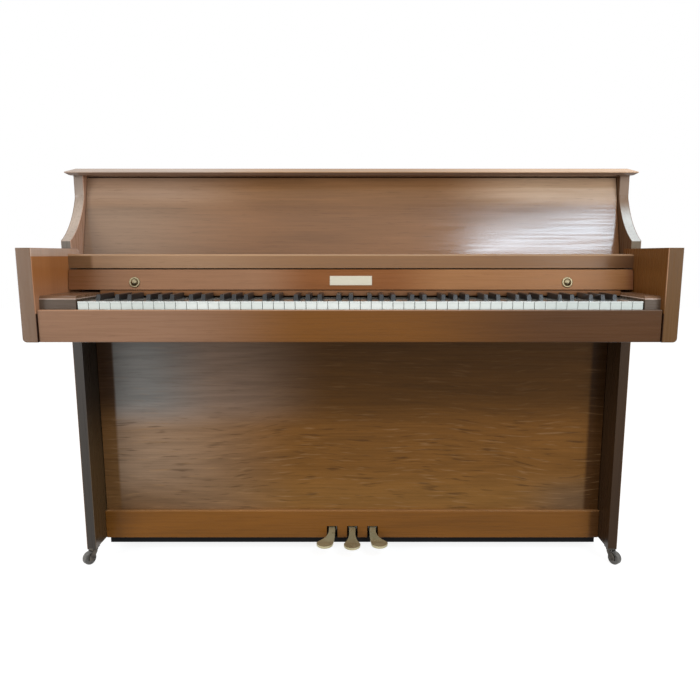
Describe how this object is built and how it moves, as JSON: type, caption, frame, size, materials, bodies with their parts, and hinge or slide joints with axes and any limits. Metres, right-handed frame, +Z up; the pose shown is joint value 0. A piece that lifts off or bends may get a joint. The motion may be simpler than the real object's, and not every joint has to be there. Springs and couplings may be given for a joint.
{
  "type": "upright piano",
  "caption": "Console upright piano in brown walnut with a plain music desk, sliding fallboard, full keyboard, brass pedals and casters.",
  "frame": {"origin": "centre of the footprint on the floor", "axes": "+X to the player's right along the keyboard, +Y from the player to the back, +Z up"},
  "size_m": [1.451, 0.614, 1.028],
  "materials": {
    "walnut": "satin lacquered walnut",
    "plain_wood": "plain sanded wood",
    "black_board": "black stained wood",
    "back_wood": "plain sanded wood",
    "spruce": "varnished spruce",
    "maple": "plain maple",
    "key_white": "polished white plastic",
    "key_black": "satin black plastic",
    "felt": "pressed felt on wooden stems",
    "plate_gold": "bronze painted iron",
    "steel": "bare steel",
    "brass": "aged brass",
    "caster_iron": "dark iron",
    "caster_wheel": "worn iron"
  },
  "bodies": {
    "case": {"left_side": "walnut", "right_side": "walnut", "left_arm": "walnut", "right_arm": "walnut", "keybed": "plain_wood", "keyslip": "walnut", "left_key_block": "walnut", "right_key_block": "walnut", "music_shelf": "walnut", "music_desk": "walnut", "key_strip": "walnut", "lower_panel": "walnut", "toe_board": "walnut", "bottom_board": "black_board", "lid_hinge_fixed_leaves": "brass", "fallboard_tracks": "plain_wood", "key_frame": "plain_wood", "back_posts": "back_wood", "back_rails": "back_wood", "soundboard": "spruce", "soundboard_ribs": "back_wood", "bridges": "maple", "pin_block": "back_wood", "iron_plate": "plate_gold", "tuning_pins": "steel", "strings": "steel", "action_rails": "maple", "action_brackets": "plate_gold", "pedal_brackets": "caster_iron", "caster_sockets": "caster_iron"},
    "lid": {"lid": "walnut", "lid_hinge_moving_leaves": "brass"},
    "fallboard": {"fallboard_apron": "walnut", "fallboard_panel": "walnut", "fallboard_knobs": "brass", "nameplate": "brass"},
    "dampers": {"dampers": "felt"},
    "white_keys_first": {"white_keys_first": "key_white"},
    "white_keys_second": {"white_keys_second": "key_white"},
    "white_hammers_first": {"white_hammers_first": "felt"},
    "white_hammers_second": {"white_hammers_second": "felt"},
    "black_keys_first": {"black_keys_first": "key_black"},
    "black_keys_second": {"black_keys_second": "key_black"},
    "black_hammers_first": {"black_hammers_first": "felt"},
    "black_hammers_second": {"black_hammers_second": "felt"},
    "soft_pedal": {"soft_pedal": "brass"},
    "soft_lift_rod": {"soft_lift_rod": "plain_wood"},
    "middle_pedal": {"middle_pedal": "brass"},
    "middle_lift_rod": {"middle_lift_rod": "plain_wood"},
    "sustain_pedal": {"sustain_pedal": "brass"},
    "sustain_lift_rod": {"sustain_lift_rod": "plain_wood"},
    "front_left_caster_fork": {"front_left_caster_fork": "caster_iron"},
    "front_left_caster_wheel": {"front_left_caster_wheel": "caster_wheel"},
    "front_right_caster_fork": {"front_right_caster_fork": "caster_iron"},
    "front_right_caster_wheel": {"front_right_caster_wheel": "caster_wheel"},
    "rear_left_caster_fork": {"rear_left_caster_fork": "caster_iron"},
    "rear_left_caster_wheel": {"rear_left_caster_wheel": "caster_wheel"},
    "rear_right_caster_fork": {"rear_right_caster_fork": "caster_iron"},
    "rear_right_caster_wheel": {"rear_right_caster_wheel": "caster_wheel"}
  },
  "joints": [
    {"name": "lid_hinge", "type": "hinge", "parent": "case", "child": "lid", "pos_m": [0, 0.3035, 1.011], "axis": [-1, 0, 0], "range_deg": [0, 100]},
    {"name": "fallboard_slide", "type": "slide", "parent": "case", "child": "fallboard", "axis": [0, -1, 0], "range_m": [0, 0.15]},
    {"name": "white_keys_first_dip", "type": "hinge", "parent": "case", "child": "white_keys_first", "pos_m": [0, -0.072, 0.6857], "axis": [1, 0, 0], "range_deg": [0, 2.6], "stiffness_Nm_per_rad": 15.6, "springref_deg": -14.32},
    {"name": "white_hammers_first_swing", "type": "hinge", "parent": "case", "child": "white_hammers_first", "pos_m": [0, 0.15, 0.74], "axis": [-1, 0, 0], "range_deg": [0, 22]},
    {"name": "white_keys_second_dip", "type": "hinge", "parent": "case", "child": "white_keys_second", "pos_m": [0, -0.072, 0.6857], "axis": [1, 0, 0], "range_deg": [0, 2.6], "stiffness_Nm_per_rad": 15.6, "springref_deg": -14.32},
    {"name": "white_hammers_second_swing", "type": "hinge", "parent": "case", "child": "white_hammers_second", "pos_m": [0, 0.15, 0.74], "axis": [-1, 0, 0], "range_deg": [0, 22]},
    {"name": "black_keys_first_dip", "type": "hinge", "parent": "case", "child": "black_keys_first", "pos_m": [0, -0.072, 0.6857], "axis": [1, 0, 0], "range_deg": [0, 2.6], "stiffness_Nm_per_rad": 10.8, "springref_deg": -14.32},
    {"name": "black_hammers_first_swing", "type": "hinge", "parent": "case", "child": "black_hammers_first", "pos_m": [0, 0.15, 0.74], "axis": [-1, 0, 0], "range_deg": [0, 22]},
    {"name": "black_keys_second_dip", "type": "hinge", "parent": "case", "child": "black_keys_second", "pos_m": [0, -0.072, 0.6857], "axis": [1, 0, 0], "range_deg": [0, 2.6], "stiffness_Nm_per_rad": 10.8, "springref_deg": -14.32},
    {"name": "black_hammers_second_swing", "type": "hinge", "parent": "case", "child": "black_hammers_second", "pos_m": [0, 0.15, 0.74], "axis": [-1, 0, 0], "range_deg": [0, 22]},
    {"name": "soft_pedal_pivot", "type": "hinge", "parent": "case", "child": "soft_pedal", "pos_m": [-0.056, 0.09, 0.066], "axis": [1, 0, 0], "range_deg": [0, 7], "stiffness_Nm_per_rad": 12, "springref_deg": -14.32},
    {"name": "soft_lift_rod_slide", "type": "slide", "parent": "case", "child": "soft_lift_rod", "axis": [0, 0, 1], "range_m": [0, 0.0065]},
    {"name": "middle_pedal_pivot", "type": "hinge", "parent": "case", "child": "middle_pedal", "pos_m": [0, 0.09, 0.066], "axis": [1, 0, 0], "range_deg": [0, 7], "stiffness_Nm_per_rad": 12, "springref_deg": -14.32},
    {"name": "middle_lift_rod_slide", "type": "slide", "parent": "case", "child": "middle_lift_rod", "axis": [0, 0, 1], "range_m": [0, 0.0065]},
    {"name": "sustain_pedal_pivot", "type": "hinge", "parent": "case", "child": "sustain_pedal", "pos_m": [0.056, 0.09, 0.066], "axis": [1, 0, 0], "range_deg": [0, 7], "stiffness_Nm_per_rad": 12, "springref_deg": -14.32},
    {"name": "sustain_lift_rod_slide", "type": "slide", "parent": "case", "child": "sustain_lift_rod", "axis": [0, 0, 1], "range_m": [0, 0.0065]},
    {"name": "dampers_lift", "type": "hinge", "parent": "case", "child": "dampers", "pos_m": [0, 0.169, 0.745], "axis": [1, 0, 0], "range_deg": [0, 8]},
    {"name": "front_left_caster_swivel", "type": "hinge", "parent": "case", "child": "front_left_caster_fork", "pos_m": [-0.693, -0.035, 0.03], "axis": [0, 0, 1], "continuous": true},
    {"name": "front_left_caster_roll", "type": "hinge", "parent": "front_left_caster_fork", "child": "front_left_caster_wheel", "pos_m": [-0.7016, -0.04729, 0.0175], "axis": [0.8192, -0.5736, 0], "continuous": true},
    {"name": "front_right_caster_swivel", "type": "hinge", "parent": "case", "child": "front_right_caster_fork", "pos_m": [0.693, -0.035, 0.03], "axis": [0, 0, 1], "continuous": true},
    {"name": "front_right_caster_roll", "type": "hinge", "parent": "front_right_caster_fork", "child": "front_right_caster_wheel", "pos_m": [0.7016, -0.04729, 0.0175], "axis": [0.8192, 0.5736, 0], "continuous": true},
    {"name": "rear_left_caster_swivel", "type": "hinge", "parent": "case", "child": "rear_left_caster_fork", "pos_m": [-0.693, 0.262, 0.03], "axis": [0, 0, 1], "continuous": true},
    {"name": "rear_left_caster_roll", "type": "hinge", "parent": "rear_left_caster_fork", "child": "rear_left_caster_wheel", "pos_m": [-0.708, 0.262, 0.0175], "axis": [0, -1, 0], "continuous": true},
    {"name": "rear_right_caster_swivel", "type": "hinge", "parent": "case", "child": "rear_right_caster_fork", "pos_m": [0.693, 0.262, 0.03], "axis": [0, 0, 1], "continuous": true},
    {"name": "rear_right_caster_roll", "type": "hinge", "parent": "rear_right_caster_fork", "child": "rear_right_caster_wheel", "pos_m": [0.708, 0.262, 0.0175], "axis": [0, 1, 0], "continuous": true}
  ],
  "couplings": [
    {"joint": "white_hammers_first_swing", "follows": "white_keys_first_dip", "ratio": 8.4},
    {"joint": "white_hammers_second_swing", "follows": "white_keys_second_dip", "ratio": 8.4},
    {"joint": "black_hammers_first_swing", "follows": "black_keys_first_dip", "ratio": 8.4},
    {"joint": "black_hammers_second_swing", "follows": "black_keys_second_dip", "ratio": 8.4},
    {"joint": "soft_lift_rod_slide", "follows": "soft_pedal_pivot", "m_per_rad": 0.0505},
    {"joint": "middle_lift_rod_slide", "follows": "middle_pedal_pivot", "m_per_rad": 0.0505},
    {"joint": "sustain_lift_rod_slide", "follows": "sustain_pedal_pivot", "m_per_rad": 0.0505},
    {"joint": "dampers_lift", "follows": "sustain_pedal_pivot", "ratio": 1.1}
  ]
}
